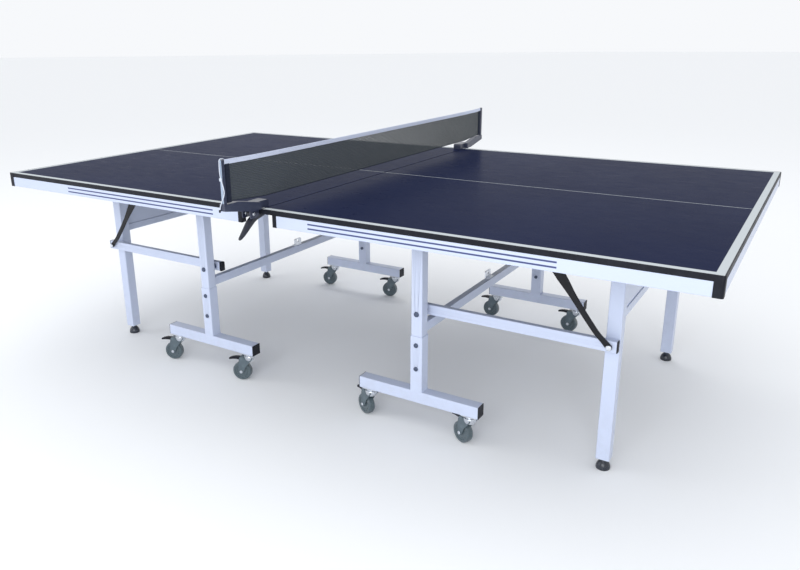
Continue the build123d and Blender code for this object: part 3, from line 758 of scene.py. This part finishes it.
def torsion_spring(bm):
    """The coil on the lever's pin, in the gap beside the lever, with its two short legs."""
    turns = 4
    steps = 24 * turns
    radius = 0.0062
    start = -0.0388
    length = 0.0046
    coil = []
    for k in range(steps + 1):
        angle = FULL_TURN * turns * k / steps
        coil.append(Vector((start + length * k / steps, radius * math.cos(angle), radius * math.sin(angle))))
    first_leg = [coil[0] + Vector((0, 0, -0.014)), coil[0] + Vector((0, 0, -0.007))]
    last_leg = [coil[-1] + Vector((0, 0, 0.006)), coil[-1] + Vector((0, 0, 0.011))]
    tube(bm, first_leg + coil + last_leg, 0.0005, 8)


def pin_heads(bm):
    """Domed rivet heads on both ends of the lever's pin."""
    profile = [(0.0058, 0), (0.0058, 0.0006), (0.0050, 0.0018), (0.0030, 0.0026), (0, 0.0029)]
    for x, turn in ((-0.044, -90), (-0.007, 90)):
        place = Matrix.Translation((x, 0, 0)) @ Matrix.Rotation(math.radians(turn), 4, "Y")
        lathe(bm, profile, place, 28)


def make_clamp_hardware():
    """Pin heads and a torsion spring for each clamp."""
    for row, sign in ROWS.items():
        place = Matrix.Translation((0, sign * CLAMP_PIN_Y, CLAMP_PIN_Z))
        make_piece(f"{row}_clamp_pin_heads", pin_heads, "zinc", "left_top", place)
        make_piece(f"{row}_clamp_spring", torsion_spring, "zinc", "left_top", place)


# ---------------------------------------------------------------- levers and struts

def smooth_line(points, steps=6):
    """A Catmull-Rom curve through points of any dimension, as a denser list of points."""
    padded = [points[0]] + list(points) + [points[-1]]
    curve = []
    for four_points in zip(padded, padded[1:], padded[2:], padded[3:]):
        for k in range(steps):
            share = k / steps
            place = []
            for before, start, end, after in zip(*four_points):
                slope = end - before
                bend = 2 * before - 5 * start + 4 * end - after
                twist = 3 * start - before - 3 * end + after
                place.append(0.5 * (2 * start + slope * share + bend * share ** 2 + twist * share ** 3))
            curve.append(tuple(place))
    return curve + [tuple(points[-1])]


def clamp_lever(sign):
    """One spring lever: a jaw pad, a boss on the pin, and a curved handle that thins to its tip."""
    stations = [       # distance from the centre line, height, half its thickness, half its width
        (0.7185, 0.7368, 0.0055, 0.0066),
        (0.7350, 0.7350, 0.0083, 0.0080),
        (0.7570, 0.7326, 0.0108, 0.0080),
        (0.7760, 0.7275, 0.0128, 0.0080),
        (0.7930, 0.7165, 0.0130, 0.0079),
        (0.8070, 0.7040, 0.0110, 0.0076),
        (0.8200, 0.6920, 0.0088, 0.0070),
        (0.8320, 0.6820, 0.0066, 0.0062),
        (0.8410, 0.6755, 0.0045, 0.0050),
        (0.8452, 0.6724, 0.0020, 0.0028),
    ]

    def build(bm):
        line = smooth_line(stations)
        rings = []
        for k, (y, z, thick, wide) in enumerate(line):
            before, after = line[max(k - 1, 0)], line[min(k + 1, len(line) - 1)]
            run = Vector((0, after[0] - before[0], after[1] - before[1])).normalized()
            across = Vector((0, -run.z, run.y))
            outline = []
            for step in range(20):
                angle = FULL_TURN * step / 20
                x = wide * squared_off(math.cos(angle), 0.55)
                rise = thick * squared_off(math.sin(angle), 0.75)
                point = Vector((LEVER_X + x, y, z)) + across * rise
                outline.append(Vector((point.x, sign * point.y, point.z)))
            rings.append(outline)
        skin(bm, rings)
        boss = [
            (LEVER_BORE, -0.0080),
            (0.0088, -0.0080),
            (0.0094, -0.0074),
            (0.0094, 0.0074),
            (0.0088, 0.0080),
            (LEVER_BORE, 0.0080),
        ]
        turn = Matrix.Rotation(math.radians(90), 4, "Y")
        place = Matrix.Translation((LEVER_X, sign * CLAMP_PIN_Y, CLAMP_PIN_Z)) @ turn
        lathe(bm, boss, place, closed=True)
    return build


def strut_pair(side_sign):
    """The two black struts of one half: flat bars that bend at the knee and broaden towards the head."""
    stations = [       # place along the table, height, half its width
        (1.0720, 0.4290, 0.0092),
        (1.0530, 0.4475, 0.0078),
        (1.0340, 0.4660, 0.0080),
        (1.0135, 0.4915, 0.0083),
        (0.9930, 0.5180, 0.0086),
        (0.9725, 0.5460, 0.0092),
        (0.9520, 0.5740, 0.0105),
        (0.9350, 0.5980, 0.0130),
        (0.9180, 0.6210, 0.0150),
        (0.8980, 0.6500, 0.0166),
        (0.8780, 0.6800, 0.0160),
        (0.8655, 0.7050, 0.0135),
    ]

    def build(bm):
        line = smooth_line(stations)
        upper, lower = [], []
        for k, (x, z, half) in enumerate(line):
            before, after = line[max(k - 1, 0)], line[min(k + 1, len(line) - 1)]
            run = Vector((after[0] - before[0], after[1] - before[1])).normalized()
            across = Vector((-run.y, run.x)) * half
            upper.append(Vector((x, z)) + across)
            lower.append(Vector((x, z)) - across)
        foot, head = Vector(line[0][:2]), Vector(line[-1][:2])
        outline = upper
        outline += round_end(head, upper[-1] - head, 0.5)
        outline += list(reversed(lower))
        outline += round_end(foot, lower[0] - foot, 1.0)
        outline = [(side_sign * point.x, point.y) for point in outline]
        for row_sign in ROWS.values():
            low, high = sorted(row_sign * y for y in STRUT_Y)
            plate(bm, outline, low, high, 0.0007)
    return build


def round_end(middle, spoke, bulge):
    """Points of a half ellipse that starts at a spoke's tip and turns to the other side."""
    forward = Vector((spoke.y, -spoke.x)) * bulge
    angles = [math.pi * k / 10 for k in range(1, 10)]
    return [middle + spoke * math.cos(angle) + forward * math.sin(angle) for angle in angles]


def make_levers_and_struts():
    """Clamp levers on their own bodies, and each half's pair of struts."""
    for row, sign in ROWS.items():
        make_piece(
            f"{row}_curved_lever", clamp_lever(sign), "lever", f"{row}_clamp_lever",
            replaces=[f"{row}_net_lever"], sharp=50,
        )
    for side, sign in SIDES.items():
        make_piece(
            f"{side}_bent_struts", strut_pair(sign), "black_steel", f"{side}_strut_pair",
            replaces=[f"{side}_struts"],
        )


# ---------------------------------------------------------------- casters

WHEEL_RADIUS = 0.0375
WHEEL_BORE = 0.00405
KINGPIN_BORE = 0.00505
PEDAL_BORE = 0.00255
CHEEK_THICKNESS = 0.0025
TRAIL = 0.032
PEDAL_PIN = (-0.028, 0.089)
POST_X = 0.472
POST_Y = 0.560
CASTER_OFFSETS = {"inner": -0.190, "outer": 0.190}
SWIVEL = {"left_near": 20, "left_far": 12, "right_near": -24, "right_far": -5}     # degrees, at rest
ACROSS = Matrix.Rotation(math.radians(-90), 4, "X")


def caster_wheel(bm):
    """A solid grey wheel: grooved tread, ringed sides and a hub round the axle."""
    half_side = [
        (WHEEL_BORE, 0.0138),
        (0.0088, 0.0138),
        (0.0094, 0.0130),
        (0.0100, 0.0098),
        (0.0120, 0.0092),
        (0.0195, 0.0090),
        (0.0203, 0.0099),
        (0.0222, 0.0100),
        (0.0230, 0.0091),
        (0.0262, 0.0092),
        (0.0272, 0.0112),
        (0.0330, 0.0123),
        (0.0356, 0.0114),
        (0.0370, 0.0088),
        (0.0374, 0.0056),
        (0.0374, 0.0046),
        (0.0368, 0.0042),
        (0.0368, 0.0034),
        (WHEEL_RADIUS, 0.0030),
    ]
    profile = half_side + [(radius, -y) for radius, y in reversed(half_side)]
    place = Matrix.Translation((-TRAIL, 0, WHEEL_RADIUS)) @ ACROSS
    lathe(bm, profile, place, 64, closed=True)


def caster_cheeks(bm):
    """The fork's two pressed cheeks and the bridge between them."""
    foot = [math.radians(angle) for angle in range(195, 351, 15)]
    outline = [(-TRAIL + 0.0095 * math.cos(a), WHEEL_RADIUS + 0.0095 * math.sin(a)) for a in foot]
    outline += [(-0.010, 0.062), (0.012, 0.088), (0.0165, 0.094), (0.0165, 0.0985)]
    outline += [(-0.036, 0.0985), (-0.0405, 0.086), (-0.0425, 0.060)]
    for low in (-0.0165, 0.0140):
        plate(bm, outline, low, low + CHEEK_THICKNESS)
    bridge = [(-0.036, 0.0955), (0.0165, 0.0955), (0.0165, 0.0985), (-0.036, 0.0985)]
    plate(bm, bridge, -0.0150, 0.0150)


def caster_cup(bm):
    """The bright domed swivel cup under the beam, and the axle bolt with its head and nut."""
    profile = [
        (KINGPIN_BORE, 0.1045),
        (0.0172, 0.1045),
        (0.0186, 0.1038),
        (0.0206, 0.1032),
        (0.0213, 0.1020),
        (0.0212, 0.0992),
        (0.0206, 0.0950),
        (0.0192, 0.0900),
        (0.0168, 0.0852),
        (0.0134, 0.0816),
        (0.0100, 0.0802),
        (KINGPIN_BORE, 0.0800),
    ]
    lathe(bm, profile, sides=56, closed=True)
    axle = Matrix.Translation((-TRAIL, 0, WHEEL_RADIUS)) @ ACROSS
    lathe(bm, [(0.0040, -0.0166), (0.0040, 0.0166)], axle, 24)
    head = [(0.0068, 0.0165), (0.0068, 0.0172), (0.0060, 0.0188), (0.0038, 0.0199), (0, 0.0203)]
    lathe(bm, head, axle, 32)
    nut = [(0.0060, -0.0165), (0.0066, -0.0172), (0.0066, -0.0198), (0.0058, -0.0205)]
    lathe(bm, nut, axle, 6)


def caster_pedal(bm):
    """The brake pedal: a barrel on its pin and a tongue that widens, dips and carries three grip ribs."""
    pin_x, pin_z = PEDAL_PIN
    place = Matrix.Translation((pin_x, 0, pin_z)) @ ACROSS
    barrel = [(PEDAL_BORE, -0.0130), (0.0046, -0.0130), (0.0046, 0.0130), (PEDAL_BORE, 0.0130)]
    lathe(bm, barrel, place, 28, closed=True)
    rings = []
    steps = 20
    rib_steps = (11, 14, 17)
    for share in even_steps(0, 1, steps):
        x = pin_x - 0.003 - 0.0545 * share
        z = pin_z + 0.0016 + 0.0025 * math.sin(math.pi * share) - 0.0055 * share ** 2
        half_width = 0.0125 - 0.0035 * share
        half_width *= math.sqrt(max(0.02, 1 - max(0.0, (share - 0.8) / 0.2) ** 2 * 0.75))
        rib = 0.0009 if int(share * steps) in rib_steps else 0.0
        top = 0.0024 + rib
        under = -0.0058 + 0.0030 * share
        section = [(-1, under), (1, under), (1, top * 0.6), (0.86, top), (-0.86, top), (-1, top * 0.6)]
        rings.append([Vector((x, half_width * y, z + rise)) for y, rise in section])
    skin(bm, rings)


def make_casters():
    """Eight casters: wheel, cheeks, cup and pedal, each on its own body."""
    for side, side_sign in SIDES.items():
        for row, row_sign in ROWS.items():
            for spot, offset in CASTER_OFFSETS.items():
                name = f"{side}_{row}_{spot}"
                place = Matrix.Translation((side_sign * (POST_X + offset), row_sign * POST_Y, 0))
                place = place @ Matrix.Rotation(math.radians(SWIVEL[f"{side}_{row}"]), 4, "Z")
                make_piece(
                    f"{name}_tyre", caster_wheel, "wheel", f"{name}_roller", place,
                    [f"{name}_wheel"],
                )
                make_piece(
                    f"{name}_cheeks", caster_cheeks, "shaded_fork_zinc", f"{name}_caster", place,
                    [f"{name}_fork"],
                )
                make_piece(f"{name}_swivel_cup", caster_cup, "zinc", f"{name}_caster", place)
                make_piece(
                    f"{name}_brake_pedal", caster_pedal, "black", f"{name}_brake", place,
                    [f"{name}_pedal"],
                )


# ---------------------------------------------------------------- feet

LEG_X = 1.072
LEG_Y = 0.464


def levelling_feet(side_sign):
    """Both feet of one half: a glossy dome, a neck, and a threaded stem with its jam nut."""
    dome = [
        (0, 0),
        (0.0196, 0),
        (0.0214, 0.0010),
        (0.0220, 0.0034),
        (0.0219, 0.0076),
        (0.0208, 0.0128),
        (0.0186, 0.0182),
        (0.0156, 0.0230),
        (0.0124, 0.0262),
        (0.0110, 0.0284),
        (0.0108, 0.0336),
        (0, 0.0336),
    ]
    stem_bottom = 0.0300
    thread_step = 0.0008
    thread_steps = 56
    stem = [(0, stem_bottom)]
    for k in range(thread_steps):
        stem.append((0.0060 if k % 2 else 0.0054, stem_bottom + thread_step * k))
    stem.append((0, stem_bottom + thread_step * thread_steps))

    def build(bm):
        for row_sign in ROWS.values():
            place = Matrix.Translation((side_sign * LEG_X, row_sign * LEG_Y, 0))
            lathe(bm, dome, place, 48)
            lathe(bm, stem, place, 24)
            nut = [(0.0062, 0.0338), (0.0102, 0.0338), (0.0106, 0.0344), (0.0106, 0.0368), (0.0102, 0.0374)]
            lathe(bm, nut + [(0.0062, 0.0374)], place, 6, closed=True)
    return build


def make_feet():
    """The levelling feet of both halves."""
    for side, sign in SIDES.items():
        make_piece(
            f"{side}_domed_feet", levelling_feet(sign), "foot", f"{side}_levelling_feet",
            replaces=[f"{side}_feet"], sharp=30,
        )


# ---------------------------------------------------------------- weld beads

def bead_path(corners, radius=0.0022):
    """Points every few millimetres round a closed loop of corners, wavering like a hand-run weld."""
    points = []
    for first, last in zip(corners, corners[1:] + corners[:1]):
        steps = max(2, round((last - first).length / 0.0018))
        for k in range(steps):
            wave = 0.35 * radius * math.sin(len(points) * 2.1)
            points.append(first.lerp(last, k / steps) + Vector((wave * 0.4, wave * 0.4, wave)))
    return points


CORNER_SIGNS = ((-1, -1), (1, -1), (1, 1), (-1, 1))


def level_loop(x, y, z, half_x, half_y):
    """The four corners of a level rectangle."""
    return [Vector((x + sx * half_x, y + sy * half_y, z)) for sx, sy in CORNER_SIGNS]


def upright_loop(x, y, z, half_x, half_z):
    """The four corners of a rectangle that stands facing along Y."""
    return [Vector((x + sx * half_x, y, z + sz * half_z)) for sx, sz in CORNER_SIGNS]


def chassis_welds(side_sign):
    """Beads where each sleeve stands on its beam, and where the cross rail meets each post."""
    def build(bm):
        x = side_sign * POST_X
        for row_sign in ROWS.values():
            round_sleeve = level_loop(x, row_sign * POST_Y, 0.1555, 0.0215, 0.0205)
            round_rail = upright_loop(x, row_sign * 0.5395, 0.3715, 0.0115, 0.0160)
            tube(bm, bead_path(round_sleeve), 0.0017, closed=True)
            tube(bm, bead_path(round_rail), 0.0015, closed=True)
    return build


def leg_welds(side_sign):
    """Beads where the cross panel and its lip meet the two legs."""
    def build(bm):
        x = side_sign * LEG_X
        for row_sign in ROWS.values():
            joint = row_sign * 0.4425
            round_panel = upright_loop(x, joint, 0.573, 0.0055, 0.0660)
            round_lip = upright_loop(x, joint, 0.492, 0.0085, 0.0135)
            for corners in (round_panel, round_lip):
                tube(bm, bead_path(corners), 0.0014, closed=True)
    return build


def make_welds():
    """Painted weld beads of both halves."""
    for side, sign in SIDES.items():
        make_piece(f"{side}_chassis_welds", chassis_welds(sign), "white", f"{side}_chassis")
        make_piece(f"{side}_leg_welds", leg_welds(sign), "white", f"{side}_legs")


# ---------------------------------------------------------------- put the scene together

make_camera()
make_tension_cord()
make_studio()
paint_cad_nodes()
make_net()
make_clamp_hardware()
make_levers_and_struts()
make_casters()
make_feet()
make_welds()
